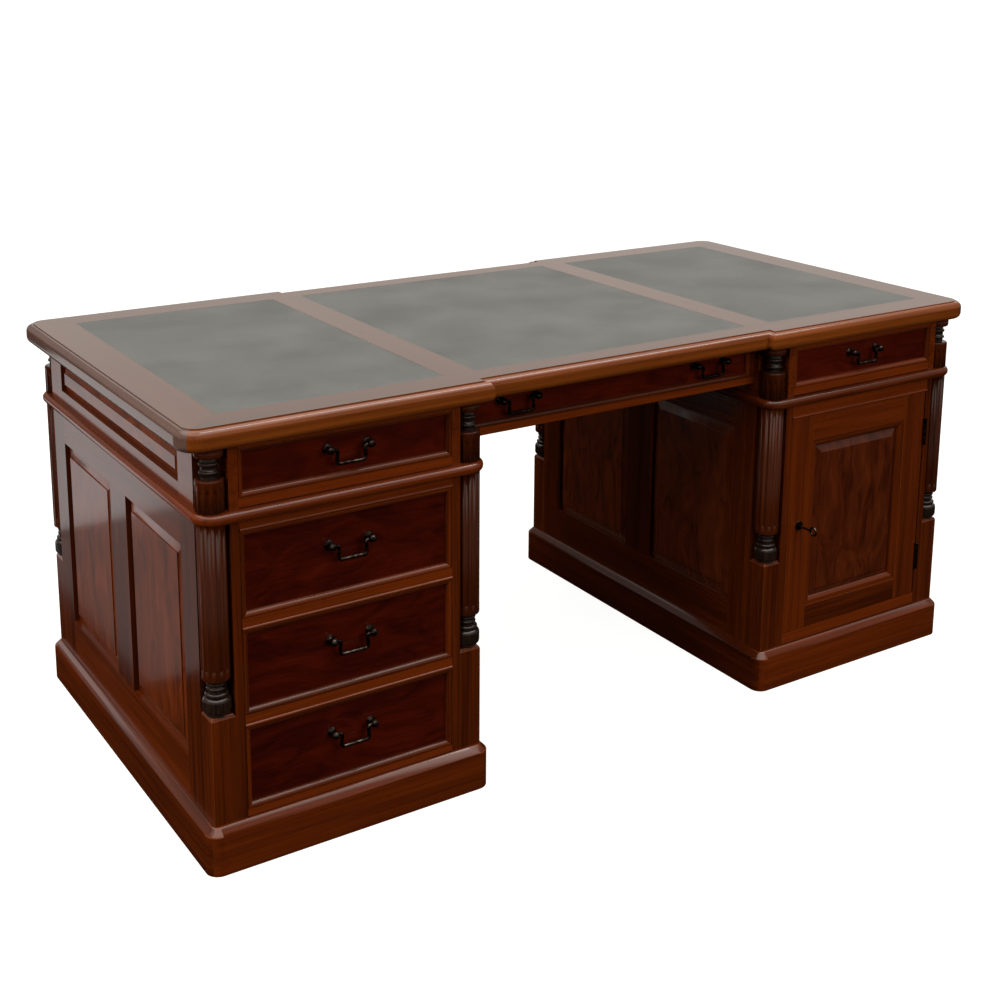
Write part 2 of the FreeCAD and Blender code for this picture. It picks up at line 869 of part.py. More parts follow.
def bail():
    """The swinging bail, hanging from an axis through the middle."""
    start = post_spacing / 2 - knob_radius - bail_start
    shoulder = start - bail_lead
    outline = ((start, 0), (shoulder, 0), (bail_bar / 2, -bail_drop))
    left = [Vector(-x, 0, z) for x, z in outline]
    right = [Vector(x, 0, z) for x, z in reversed(outline)]
    path = rounded_wire(left + right, (bail_shoulder, bail_corner, bail_corner, bail_shoulder))
    ring = Part.Wire(Part.makeCircle(bail_radius, Vector(-start, 0, 0), RIGHT))
    pieces = [path.makePipeShell([ring], True, True)]
    length = bail_start + pin_depth
    for side in (-1, 1):
        pieces.append(Part.makeCylinder(pin_radius, length, Vector(side * start, 0, 0), RIGHT * side))
    return joined(pieces)


def door():
    """The front door: stiles, rails, raised panel and four mouldings."""
    left, right = door_left + door_stile, door_right - door_stile
    low, high = door_low + door_low_rail, door_high - door_high_rail
    start = Vector(key_x, -face_y - overrun, key_z)
    keyhole = Part.makeCylinder(key_radius + key_clearance, door_thickness + 2 * overrun, start, BACK)
    solids = [
        box((door_left, -face_y, door_low), (left, door_back, door_high)).cut(keyhole).Solids[0],
        box((right, -face_y, door_low), (door_right, door_back, door_high)),
        box((left, -face_y, door_low), (right, door_back, low)),
        box((left, -face_y, high), (right, door_back, door_high)),
    ]
    section = (
        (0, -panel_back),
        (0, -door_moulding_top),
        (door_moulding_lip, -door_moulding_top),
        ovolo(door_moulding_lip, door_moulding, -door_moulding_top, -door_moulding_fall),
        (door_moulding, -panel_back),
    )
    width, height = right - left, high - low
    filling = mitred_ring(width, height, section)
    filling.append(raised_panel(width - 2 * door_moulding, height - 2 * door_moulding, door_bevel))
    return solids + moved(stand_up(filling), (left + right) / 2, -face_y, (low + high) / 2)


def hinge_places():
    """Lower ends of the two hinges."""
    return (door_low + hinge_inset, door_high - hinge_inset - hinge_height)


def knuckle(base, height):
    """A hinge knuckle about the door's axis."""
    return Part.makeCylinder(knuckle_radius, height, Vector(hinge_x, hinge_y, base))


def fixed_leaves():
    """The hinge leaves on the post, each with two knuckles and the pin."""
    third = hinge_height / 3
    edge = door_right + hinge_gap
    solids = []
    for base in hinge_places():
        plate_y = leaf_width - face_y
        plate = box((edge - leaf_thickness, -face_y, base), (edge, plate_y, base + hinge_height))
        pieces = [plate, Part.makeCylinder(hinge_pin_radius, hinge_height, Vector(hinge_x, hinge_y, base))]
        for low in (base, base + 2 * third):
            pieces.append(knuckle(low, third))
            pieces.append(box((edge - leaf_thickness, hinge_y, low), (edge, -face_y, low + third)))
        solids.append(joined(pieces))
    return solids


def moving_leaves():
    """The hinge leaves on the door, each with one bored knuckle."""
    third = hinge_height / 3
    solids = []
    for base in hinge_places():
        inner = door_right + leaf_thickness
        plate = box((door_right, -face_y, base), (inner, leaf_width - face_y, base + hinge_height))
        low = base + third + knuckle_gap
        height = third - 2 * knuckle_gap
        neck = box((door_right, hinge_y, low), (inner, -face_y, low + height))
        start = Vector(hinge_x, hinge_y, low - overrun)
        bore = Part.makeCylinder(hinge_pin_radius + hinge_pin_clearance, height + 2 * overrun, start)
        solids.append(joined([plate, neck, knuckle(low, height)]).cut(bore).Solids[0])
    return solids


def door_fittings():
    """Moving hinge leaves, escutcheon and lock case of the front door."""
    plate_y = -face_y - escutcheon_thickness
    plate = Part.makeCylinder(escutcheon_radius, escutcheon_thickness, Vector(key_x, plate_y, key_z), BACK)
    eye = Part.makeCylinder(
        key_radius + escutcheon_clearance,
        escutcheon_thickness + 2 * overrun,
        Vector(key_x, plate_y - overrun, key_z),
        BACK,
    )
    case_x = door_left + lock_inset
    case_far = (case_x + lock_width, door_back + lock_depth, key_z + lock_above)
    case = box((case_x, door_back, key_z - lock_below), case_far)
    channel = box(
        (case_x - overrun, bolt_y - bolt_clearance, bolt_z - bolt_clearance),
        (
            bolt_x + bolt_length + bolt_clearance,
            bolt_y + bolt_thickness + bolt_clearance,
            bolt_z + bolt_height + bolt_clearance,
        ),
    )
    ward = Part.makeCylinder(
        ward_radius, lock_depth - lock_wall + overrun, Vector(key_x, door_back - overrun, key_z), BACK
    )
    return [*moving_leaves(), plate.cut(eye).Solids[0], case.cut([channel, ward]).Solids[0]]


def lock_bolt():
    """The bolt, drawn back into the lock case."""
    far = (bolt_x + bolt_length, bolt_y + bolt_thickness, bolt_z + bolt_height)
    return box((bolt_x, bolt_y, bolt_z), far)


def key():
    """The key: shank, ring bow and a bit inside the lock case."""
    start = -face_y - key_shank
    length = key_shank + door_thickness + lock_depth - 2 * lock_wall
    shank = Part.makeCylinder(key_radius, length, Vector(key_x, start, key_z), BACK)
    bow = Part.makeTorus(bow_radius, bow_wire, Vector(key_x, start - bow_radius, key_z), RIGHT)
    near = (key_x - bit_thickness / 2, door_back + lock_wall, key_z - bit_length)
    far = (key_x + bit_thickness / 2, start + length, key_z)
    return joined([shank, bow, box(near, far)])


def front_nodes():
    """The moving pieces of the front sitter's side, as node name and solids."""
    handle = handle_posts()
    swing = bail()
    frieze = (frieze_level, opening_width, frieze_opening, frieze_handle_rise)
    places = {
        "left_frieze": (-pedestal_middle, -face_y, *frieze),
        "centre_frieze": (0, -centre_y, centre_level, centre_width, centre_opening, centre_handle_rise),
        "right_frieze": (pedestal_middle, -face_y, *frieze),
    }
    for name, level in zip(("lower", "middle", "upper"), drawer_levels):
        places[name] = (-pedestal_middle, -face_y, level, opening_width, drawer_opening, pedestal_handle_rise)
    two_handles = {"left_": -centre_handle_x, "right_": centre_handle_x}
    nodes = {}
    for name, (x, y, level, width, height, rise) in places.items():
        length = -partition / 2 - back_room - y
        nodes[f"{name}_drawer"] = moved(drawer(width, height, length), x, y, level)
        spread = two_handles if name == "centre_frieze" else {"": 0}
        posts = []
        for side, shift in spread.items():
            where = (x + shift, y + front_sink - pivot_height, level + height / 2 + rise)
            posts += moved(handle, *where)
            nodes[f"{name}_{side}bail"] = moved([swing], *where)
        nodes[f"{name}_posts"] = posts
    nodes["door"] = door()
    nodes["door_fittings"] = door_fittings()
    nodes["lock_bolt"] = [lock_bolt()]
    nodes["key"] = [key()]
    return nodes


def main():
    """Builds every node and writes it out."""
    cap = [cap_board()]
    base = plinth()
    leaves = fixed_leaves()
    nodes = {
        "top_border": both_sides([long_rail(), end_rail()]) + crossbars(),
        "top_core_board": [box((-leather_x, -leather_y, frieze_top), (leather_x, leather_y, leather_base))],
        "leather_panels": leather_panels(),
        "frieze_frame": frieze_frame(),
        "pedestal_caps": moved(cap, -pedestal_middle, 0, 0) + moved(cap, pedestal_middle, 0, 0),
        "pedestal_frames": pedestal_frames(),
        "raised_panels": raised_panels(),
        "inner_boards": inner_boards(),
        "drawer_runners": drawer_runners(),
        "cupboard_shelves": cupboard_shelves(),
        "corner_columns": corner_columns(),
        "column_blocks": column_blocks(),
        "plinths": moved(base, -pedestal_middle, 0, 0) + moved(base, pedestal_middle, 0, 0),
        "hinge_fixed_leaves": both_sides(leaves),
    }
    for name, solids in front_nodes().items():
        nodes[f"front_{name}"] = solids
        nodes[f"back_{name}"] = half_turn(solids)
    os.makedirs("parts", exist_ok=True)
    for name, solids in nodes.items():
        Part.makeCompound(solids).exportStep(f"parts/{name}.step")


main()
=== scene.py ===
"""The partners desk's looks: finishes, softened arrises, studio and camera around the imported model."""

import json
import logging
import math
from dataclasses import dataclass, field
from enum import Enum
from typing import Callable

import bmesh
import bpy
import numpy as np
from mathutils import Matrix, Vector

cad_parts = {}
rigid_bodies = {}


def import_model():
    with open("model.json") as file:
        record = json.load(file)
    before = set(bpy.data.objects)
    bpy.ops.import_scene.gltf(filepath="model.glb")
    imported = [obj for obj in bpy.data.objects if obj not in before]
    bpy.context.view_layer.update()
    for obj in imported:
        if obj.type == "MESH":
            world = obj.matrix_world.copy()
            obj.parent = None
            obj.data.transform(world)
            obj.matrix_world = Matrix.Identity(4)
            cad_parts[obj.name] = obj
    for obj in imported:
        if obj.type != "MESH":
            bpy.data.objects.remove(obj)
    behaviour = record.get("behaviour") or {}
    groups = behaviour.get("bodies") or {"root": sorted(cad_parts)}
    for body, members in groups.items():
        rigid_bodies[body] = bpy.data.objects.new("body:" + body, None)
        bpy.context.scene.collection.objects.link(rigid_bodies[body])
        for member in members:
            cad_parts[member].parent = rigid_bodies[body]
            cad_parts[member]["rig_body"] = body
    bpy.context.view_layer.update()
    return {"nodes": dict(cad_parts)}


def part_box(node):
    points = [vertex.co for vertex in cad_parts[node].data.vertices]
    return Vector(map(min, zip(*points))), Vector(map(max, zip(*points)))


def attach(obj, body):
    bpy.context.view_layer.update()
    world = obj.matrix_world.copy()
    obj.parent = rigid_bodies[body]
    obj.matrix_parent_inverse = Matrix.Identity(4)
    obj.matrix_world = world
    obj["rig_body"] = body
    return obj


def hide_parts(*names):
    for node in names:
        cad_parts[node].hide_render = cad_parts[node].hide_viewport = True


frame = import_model()
LOG = logging.getLogger("partners_desk")
MM = 0.001
# The sockets that a Mix node uses for colours, by number because their names come more than once.
MIX_SHARE = 0
MIX_FROM = 6
MIX_TO = 7
MIX_COLOUR = 2
# These turn a board's place into a chance of its own and slide its grain by it.
SCATTER = (127.1, 311.7, 74.7)
SCATTER_GAIN = 43758.5
GRAIN_SLIDE = (5.0, 3.7, 1.9)


class Grain(Enum):
    """Which way the wood's grain runs in a board."""

    LONGEST = -1
    ALONG_X = 0
    ALONG_Y = 1
    UPRIGHT = 2


class Side(Enum):
    """The two sitters' sides of the desk; the value begins the names of that side's nodes."""

    FRONT = "front"
    BACK = "back"


def linear(code: str) -> tuple[float, float, float, float]:
    """Turns an sRGB hex colour into linear light.

    Args:
        code: Colour such as "#7a3a12".

    Returns:
        Linear red, green and blue, and full opacity.
    """
    parts = [int(code[i : i + 2], 16) / 255 for i in (1, 3, 5)]
    light = [c / 12.92 if c <= 0.04045 else ((c + 0.055) / 1.055) ** 2.4 for c in parts]
    return light[0], light[1], light[2], 1.0


def add_node(tree: bpy.types.NodeTree, kind: str, inputs: dict | None = None, **settings) -> bpy.types.Node:
    """Adds a node with its settings and links.

    Args:
        tree: The material's or world's node tree.
        kind: The node's type name.
        inputs: Socket name or index to a value or to a socket to link from.
        settings: The node's own properties.

    Returns:
        The new node.
    """
    node = tree.nodes.new(kind)
    for name, value in settings.items():
        setattr(node, name, value)
    for key, value in (inputs or {}).items():
        if isinstance(value, bpy.types.NodeSocket):
            tree.links.new(value, node.inputs[key])
        else:
            node.inputs[key].default_value = value
    return node


def spread(along: float, across: float) -> tuple[float, float, float]:
    """Mapping scale for a pattern whose features are that long and wide, in millimetres, along the grain."""
    return 1 / (along * MM), 1 / (across * MM), 1 / (across * MM)


def new_material(name: str) -> tuple[bpy.types.Material, bpy.types.NodeTree, bpy.types.Node]:
    """Starts a node material.

    Args:
        name: The material's name.

    Returns:
        The material, its tree and its shader.
    """
    material = bpy.data.materials.new(name)
    material.use_nodes = True
    tree = material.node_tree
    return material, tree, tree.nodes["Principled BSDF"]


@dataclass(frozen=True)
class PolishedMahogany:
    """Solid mahogany under french polish: straight ribbon grain, dark pores and a deep clear gloss.

    Pattern sizes are lengths along and across the grain, and depths, in millimetres.
    """

    name: str = "mahogany_polished"
    dark: str = "#250a02"
    light: str = "#5e2406"
    pore: str = "#160401"
    worn: str = "#723610"
    roughness: float = 0.19
    coat: float = 0.18
    coat_roughness: float = 0.08
    gloss: float = 0.5
    ior: float = 1.5
    ribbon_size: tuple[float, float] = (900.0, 30.0)
    streak_size: tuple[float, float] = (240.0, 6.0)
    pore_size: tuple[float, float] = (22.0, 1.3)
    ripple_size: tuple[float, float] = (180.0, 60.0)
    ribbon_share: float = 0.9
    tone_share: float = 0.5
    pore_share: float = 0.3
    worn_share: float = 0.35
    roughness_swing: float = 0.06
    ripple_depth: float = 0.25
    pore_depth: float = 0.05

    def make(self) -> bpy.types.Material:
        """Builds the material.

        Returns:
            The finished material.
        """
        material, tree, shader = new_material(self.name)
        board = add_node(tree, "ShaderNodeAttribute", attribute_name="board").outputs["Vector"]
        tone = add_node(tree, "ShaderNodeAttribute", attribute_name="tone").outputs["Fac"]
        arris = add_node(tree, "ShaderNodeAttribute", attribute_name="arris").outputs["Fac"]
        # Broad ribbons hold fine streaks; streaks and pores are coarser than life so that they show.
        ribbon_at = add_node(tree, "ShaderNodeMapping", {"Vector": board, "Scale": spread(*self.ribbon_size)})
        ribbon = add_node(
            tree, "ShaderNodeTexNoise", {"Vector": ribbon_at.outputs[0], "Scale": 1.0, "Detail": 3.0}
        )
        streak_at = add_node(tree, "ShaderNodeMapping", {"Vector": board, "Scale": spread(*self.streak_size)})
        streak = add_node(
            tree,
            "ShaderNodeTexNoise",
            {"Vector": streak_at.outputs[0], "Scale": 1.0, "Detail": 6.0, "Distortion": 0.4},
        )
        pore_at = add_node(tree, "ShaderNodeMapping", {"Vector": board, "Scale": spread(*self.pore_size)})
        pores = add_node(
            tree, "ShaderNodeTexNoise", {"Vector": pore_at.outputs[0], "Scale": 1.0, "Detail": 2.0}
        )
        pits = add_node(
            tree, "ShaderNodeMapRange", {"Value": pores.outputs["Fac"], "From Min": 0.60, "From Max": 0.72}
        )
        mixed = add_node(
            tree,
            "ShaderNodeMath",
            {0: ribbon.outputs["Fac"], 1: self.ribbon_share, 2: streak.outputs["Fac"]},
            operation="MULTIPLY_ADD",
        )
        shift = add_node(
            tree,
            "ShaderNodeMath",
            {0: tone, 1: self.tone_share, 2: mixed.outputs[0]},
            operation="MULTIPLY_ADD",
        )
        share = add_node(
            tree, "ShaderNodeMapRange", {"Value": shift.outputs[0], "From Min": 0.7, "From Max": 1.75}
        )
        ground = add_node(
            tree,
            "ShaderNodeMix",
            {MIX_SHARE: share.outputs[0], MIX_FROM: linear(self.dark), MIX_TO: linear(self.light)},
            data_type="RGBA",
        )
        pitted = add_node(
            tree, "ShaderNodeMath", {0: pits.outputs[0], 1: self.pore_share}, operation="MULTIPLY"
        )
        grained = add_node(
            tree,
            "ShaderNodeMix",
            {MIX_SHARE: pitted.outputs[0], MIX_FROM: ground.outputs[MIX_COLOUR], MIX_TO: linear(self.pore)},
            data_type="RGBA",
        )
        rubbed = add_node(tree, "ShaderNodeMath", {0: arris, 1: self.worn_share}, operation="MULTIPLY")
        colour = add_node(
            tree,
            "ShaderNodeMix",
            {MIX_SHARE: rubbed.outputs[0], MIX_FROM: grained.outputs[MIX_COLOUR], MIX_TO: linear(self.worn)},
            data_type="RGBA",
        )
        ripple_at = add_node(tree, "ShaderNodeMapping", {"Vector": board, "Scale": spread(*self.ripple_size)})
        ripple = add_node(
            tree, "ShaderNodeTexNoise", {"Vector": ripple_at.outputs[0], "Scale": 1.0, "Detail": 1.0}
        )
        swell = add_node(
            tree,
            "ShaderNodeBump",
            {"Height": ripple.outputs["Fac"], "Strength": 0.2, "Distance": self.ripple_depth * MM},
        )
        bump = add_node(
            tree,
            "ShaderNodeBump",
            {
                "Height": pits.outputs[0],
                "Strength": 0.1,
                "Distance": self.pore_depth * MM,
                "Normal": swell.outputs[0],
            },
            invert=True,
        )
        gloss = add_node(
            tree,
            "ShaderNodeMapRange",
            {
                "Value": streak.outputs["Fac"],
                "To Min": self.roughness - self.roughness_swing,
                "To Max": self.roughness + self.roughness_swing,
            },
        )
        tree.links.new(colour.outputs[MIX_COLOUR], shader.inputs["Base Color"])
        tree.links.new(gloss.outputs[0], shader.inputs["Roughness"])
        tree.links.new(bump.outputs[0], shader.inputs["Normal"])
        tree.links.new(swell.outputs[0], shader.inputs["Coat Normal"])
        shader.inputs["Coat Weight"].default_value = self.coat
        shader.inputs["Coat Roughness"].default_value = self.coat_roughness
        shader.inputs["Specular IOR Level"].default_value = self.gloss
        shader.inputs["IOR"].default_value = self.ior
        return material


@dataclass(frozen=True)
class FlameVeneer:
    """Crotch mahogany veneer under polish: dark ground with slow feathered flames.

    Pattern sizes are lengths along and across the grain, and depths, in millimetres.
    """

    name: str = "mahogany_flame_veneer"
    dark: str = "#250502"
    light: str = "#451003"
    roughness: float = 0.22
    coat: float = 0.18
    coat_roughness: float = 0.08
    ior: float = 1.5
    drift_size: tuple[float, float] = (220.0, 140.0)
    flame_size: tuple[float, float] = (120.0, 28.0)
    streak_size: tuple[float, float] = (60.0, 3.0)
    ripple_size: tuple[float, float] = (160.0, 70.0)
    drift_bend: tuple[float, float, float] = (4.0, 4.0, 4.0)
    streak_share: float = 0.35
    tone_share: float = 0.2
    roughness_swing: float = 0.05
    ripple_depth: float = 0.25

    def make(self) -> bpy.types.Material:
        """Builds the material.

        Returns:
            The finished material.
        """
        material, tree, shader = new_material(self.name)
        board = add_node(tree, "ShaderNodeAttribute", attribute_name="board").outputs["Vector"]
        tone = add_node(tree, "ShaderNodeAttribute", attribute_name="tone").outputs["Fac"]
        # A slow drift bends the flames, and fine streaks run through them.
        drift_at = add_node(tree, "ShaderNodeMapping", {"Vector": board, "Scale": spread(*self.drift_size)})
        drift = add_node(
            tree, "ShaderNodeTexNoise", {"Vector": drift_at.outputs[0], "Scale": 1.0, "Detail": 2.0}
        )
        flame_at = add_node(tree, "ShaderNodeMapping", {"Vector": board, "Scale": spread(*self.flame_size)})
        bent = add_node(
            tree,
            "ShaderNodeVectorMath",
            {0: drift.outputs["Color"], 1: self.drift_bend, 2: flame_at.outputs[0]},
            operation="MULTIPLY_ADD",
        )
        flame = add_node(
            tree,
            "ShaderNodeTexNoise",
            {"Vector": bent.outputs[0], "Scale": 1.0, "Detail": 4.0, "Distortion": 0.8},
        )
        streak_at = add_node(tree, "ShaderNodeMapping", {"Vector": board, "Scale": spread(*self.streak_size)})
        streak = add_node(
            tree, "ShaderNodeTexNoise", {"Vector": streak_at.outputs[0], "Scale": 1.0, "Detail": 4.0}
        )
        mixed = add_node(
            tree,
            "ShaderNodeMath",
            {0: streak.outputs["Fac"], 1: self.streak_share, 2: flame.outputs["Fac"]},
            operation="MULTIPLY_ADD",
        )
        shift = add_node(
            tree,
            "ShaderNodeMath",
            {0: tone, 1: self.tone_share, 2: mixed.outputs[0]},
            operation="MULTIPLY_ADD",
        )
        share = add_node(
            tree, "ShaderNodeMapRange", {"Value": shift.outputs[0], "From Min": 0.5, "From Max": 1.05}
        )
        colour = add_node(
            tree,
            "ShaderNodeMix",
            {MIX_SHARE: share.outputs[0], MIX_FROM: linear(self.dark), MIX_TO: linear(self.light)},
            data_type="RGBA",
        )
        ripple_at = add_node(tree, "ShaderNodeMapping", {"Vector": board, "Scale": spread(*self.ripple_size)})
        ripple = add_node(
            tree, "ShaderNodeTexNoise", {"Vector": ripple_at.outputs[0], "Scale": 1.0, "Detail": 1.0}
        )
        swell = add_node(
            tree,
            "ShaderNodeBump",
            {"Height": ripple.outputs["Fac"], "Strength": 0.2, "Distance": self.ripple_depth * MM},
        )
        gloss = add_node(
            tree,
            "ShaderNodeMapRange",
            {
                "Value": streak.outputs["Fac"],
                "To Min": self.roughness - self.roughness_swing,
                "To Max": self.roughness + self.roughness_swing,
            },
        )
        tree.links.new(colour.outputs[MIX_COLOUR], shader.inputs["Base Color"])
        tree.links.new(gloss.outputs[0], shader.inputs["Roughness"])
        tree.links.new(swell.outputs[0], shader.inputs["Normal"])
        tree.links.new(swell.outputs[0], shader.inputs["Coat Normal"])
        shader.inputs["Coat Weight"].default_value = self.coat
        shader.inputs["Coat Roughness"].default_value = self.coat_roughness
        shader.inputs["IOR"].default_value = self.ior
        return material


@dataclass(frozen=True)
class OakLining:
    """Planed oak left unpolished inside: pale, open grained and dull.

    Pattern sizes are lengths along and across the grain, and depths, in millimetres.
    """

    name: str = "oak_lining"
    dark: str = "#6f4a27"
    light: str = "#a67a48"
    roughness: float = 0.62
    band_size: tuple[float, float] = (420.0, 9.0)
    pore_size: tuple[float, float] = (26.0, 1.5)
    tone_share: float = 0.3
    pore_share: float = 0.5
    pore_depth: float = 0.15

    def make(self) -> bpy.types.Material:
        """Builds the material.

        Returns:
            The finished material.
        """
        material, tree, shader = new_material(self.name)
        board = add_node(tree, "ShaderNodeAttribute", attribute_name="board").outputs["Vector"]
        tone = add_node(tree, "ShaderNodeAttribute", attribute_name="tone").outputs["Fac"]
        # Growth bands with open pores, both coarser than life so that they show.
        band_at = add_node(tree, "ShaderNodeMapping", {"Vector": board, "Scale": spread(*self.band_size)})
        band = add_node(
            tree,
            "ShaderNodeTexNoise",
            {"Vector": band_at.outputs[0], "Scale": 1.0, "Detail": 5.0, "Distortion": 0.6},
        )
        pore_at = add_node(tree, "ShaderNodeMapping", {"Vector": board, "Scale": spread(*self.pore_size)})
        pores = add_node(
            tree, "ShaderNodeTexNoise", {"Vector": pore_at.outputs[0], "Scale": 1.0, "Detail": 2.0}
        )
        pits = add_node(
            tree, "ShaderNodeMapRange", {"Value": pores.outputs["Fac"], "From Min": 0.58, "From Max": 0.7}
        )
        shift = add_node(
            tree,
            "ShaderNodeMath",
            {0: tone, 1: self.tone_share, 2: band.outputs["Fac"]},
            operation="MULTIPLY_ADD",
        )
        share = add_node(
            tree, "ShaderNodeMapRange", {"Value": shift.outputs[0], "From Min": 0.4, "From Max": 0.9}
        )
        ground = add_node(
            tree,
            "ShaderNodeMix",
            {MIX_SHARE: share.outputs[0], MIX_FROM: linear(self.dark), MIX_TO: linear(self.light)},
            data_type="RGBA",
        )
        pitted = add_node(
            tree, "ShaderNodeMath", {0: pits.outputs[0], 1: self.pore_share}, operation="MULTIPLY"
        )
        colour = add_node(
            tree,
            "ShaderNodeMix",
            {MIX_SHARE: pitted.outputs[0], MIX_FROM: ground.outputs[MIX_COLOUR], MIX_TO: linear(self.dark)},
            data_type="RGBA",
        )
        bump = add_node(
            tree,
            "ShaderNodeBump",
            {"Height": pits.outputs[0], "Strength": 0.4, "Distance": self.pore_depth * MM},
            invert=True,
        )
        tree.links.new(colour.outputs[MIX_COLOUR], shader.inputs["Base Color"])
        tree.links.new(bump.outputs[0], shader.inputs["Normal"])
        shader.inputs["Roughness"].default_value = self.roughness
        return material


@dataclass(frozen=True)
class WritingLeather:
    """Dyed hide skiver on the writing surface: fine pebbled grain, cloudy grey, waxed to a low sheen.

    Pattern sizes and depths are in millimetres.
    """

    name: str = "writing_leather"
    dark: str = "#40413f"
    light: str = "#525350"
    roughness: float = 0.46
    gloss: float = 0.25
    pebble_size: float = 2.5
    cloud_size: float = 160.0
    fleck_size: float = 9.0
    fleck_share: float = 0.4
    waxed: float = 0.06
    dulled: float = 0.08
    pebble_depth: float = 0.12

    def make(self) -> bpy.types.Material:
        """Builds the material.

        Returns:
            The finished material.
        """
        material, tree, shader = new_material(self.name)
        place = add_node(tree, "ShaderNodeTexCoord").outputs["Object"]
        # Pebbles are coarser than life so that they show; the dye lies in broad clouds.
        pebble = add_node(
            tree, "ShaderNodeTexVoronoi", {"Vector": place, "Scale": 1 / (self.pebble_size * MM)}
        )
        cloud = add_node(
            tree,
            "ShaderNodeTexNoise",
            {"Vector": place, "Scale": 1 / (self.cloud_size * MM), "Detail": 5.0},
        )
        fleck = add_node(
            tree,
            "ShaderNodeTexNoise",
            {"Vector": place, "Scale": 1 / (self.fleck_size * MM), "Detail": 3.0},
        )
        mixed = add_node(
            tree,
            "ShaderNodeMath",
            {0: fleck.outputs["Fac"], 1: self.fleck_share, 2: cloud.outputs["Fac"]},
            operation="MULTIPLY_ADD",
        )
        share = add_node(
            tree, "ShaderNodeMapRange", {"Value": mixed.outputs[0], "From Min": 0.45, "From Max": 0.95}
        )
        colour = add_node(
            tree,
            "ShaderNodeMix",
            {MIX_SHARE: share.outputs[0], MIX_FROM: linear(self.dark), MIX_TO: linear(self.light)},
            data_type="RGBA",
        )
        bump = add_node(
            tree,
            "ShaderNodeBump",
            {"Height": pebble.outputs["Distance"], "Strength": 0.25, "Distance": self.pebble_depth * MM},
        )
        gloss = add_node(
            tree,
            "ShaderNodeMapRange",
            {
                "Value": fleck.outputs["Fac"],
                "To Min": self.roughness - self.waxed,
                "To Max": self.roughness + self.dulled,
            },
        )
        tree.links.new(colour.outputs[MIX_COLOUR], shader.inputs["Base Color"])
        tree.links.new(gloss.outputs[0], shader.inputs["Roughness"])
        tree.links.new(bump.outputs[0], shader.inputs["Normal"])
        shader.inputs["Specular IOR Level"].default_value = self.gloss
        return material


@dataclass(frozen=True)
class PatinatedBronze:
    """Cast bronze with a dark brown patina, rubbed brighter in patches by hands.

    Pattern sizes and depths are in millimetres.
    """

    name: str = "bronze_dark_patina"
    dark: str = "#2e2622"
    rubbed: str = "#8a7c72"
    roughness: float = 0.34
    patch_size: float = 7.0
    casting_size: float = 1.2
    dulled: float = 0.14
    smoothed: float = 0.1
    casting_depth: float = 0.1

    def make(self) -> bpy.types.Material:
        """Builds the material.

        Returns:
            The finished material.
        """
        material, tree, shader = new_material(self.name)
        place = add_node(tree, "ShaderNodeTexCoord").outputs["Object"]
        # Patches of rubbed metal over a fine casting grain.
        patch = add_node(
            tree,
            "ShaderNodeTexNoise",
            {"Vector": place, "Scale": 1 / (self.patch_size * MM), "Detail": 4.0},
        )
        grain = add_node(
            tree,
            "ShaderNodeTexNoise",
            {"Vector": place, "Scale": 1 / (self.casting_size * MM), "Detail": 2.0},
        )
        share = add_node(
            tree, "ShaderNodeMapRange", {"Value": patch.outputs["Fac"], "From Min": 0.45, "From Max": 0.85}
        )
        colour = add_node(
            tree,
            "ShaderNodeMix",
            {MIX_SHARE: share.outputs[0], MIX_FROM: linear(self.dark), MIX_TO: linear(self.rubbed)},
            data_type="RGBA",
        )
        gloss = add_node(
            tree,
            "ShaderNodeMapRange",
            {
                "Value": patch.outputs["Fac"],
                "To Min": self.roughness + self.dulled,
                "To Max": self.roughness - self.smoothed,
            },
        )
        bump = add_node(
            tree,
            "ShaderNodeBump",
            {"Height": grain.outputs["Fac"], "Strength": 0.2, "Distance": self.casting_depth * MM},
        )
        tree.links.new(colour.outputs[MIX_COLOUR], shader.inputs["Base Color"])
        tree.links.new(gloss.outputs[0], shader.inputs["Roughness"])
        tree.links.new(bump.outputs[0], shader.inputs["Normal"])
        shader.inputs["Metallic"].default_value = 1.0
        return material


@dataclass(frozen=True)
class EbonisedWood:
    """Turned wood stained black and polished: nearly black with a faint brown streak and a sharp gloss.

    The streaks' size is their length along and across the grain in millimetres.
    """

    name: str = "wood_ebonised"
    dark: str = "#120b08"
    light: str = "#2a1a12"
    roughness: float = 0.24
    coat: float = 0.3
    coat_roughness: float = 0.1
    streak_size: tuple[float, float] = (60.0, 3.0)

    def make(self) -> bpy.types.Material:
        """Builds the material.

        Returns:
            The finished material.
        """
        material, tree, shader = new_material(self.name)
        board = add_node(tree, "ShaderNodeAttribute", attribute_name="board").outputs["Vector"]
        streak_at = add_node(tree, "ShaderNodeMapping", {"Vector": board, "Scale": spread(*self.streak_size)})
        streak = add_node(
            tree, "ShaderNodeTexNoise", {"Vector": streak_at.outputs[0], "Scale": 1.0, "Detail": 4.0}
        )
        share = add_node(
            tree, "ShaderNodeMapRange", {"Value": streak.outputs["Fac"], "From Min": 0.4, "From Max": 0.75}
        )
        colour = add_node(
            tree,
            "ShaderNodeMix",
            {MIX_SHARE: share.outputs[0], MIX_FROM: linear(self.dark), MIX_TO: linear(self.light)},
            data_type="RGBA",
        )
        tree.links.new(colour.outputs[MIX_COLOUR], shader.inputs["Base Color"])
        shader.inputs["Roughness"].default_value = self.roughness
        shader.inputs["Coat Weight"].default_value = self.coat
        shader.inputs["Coat Roughness"].default_value = self.coat_roughness
        return material


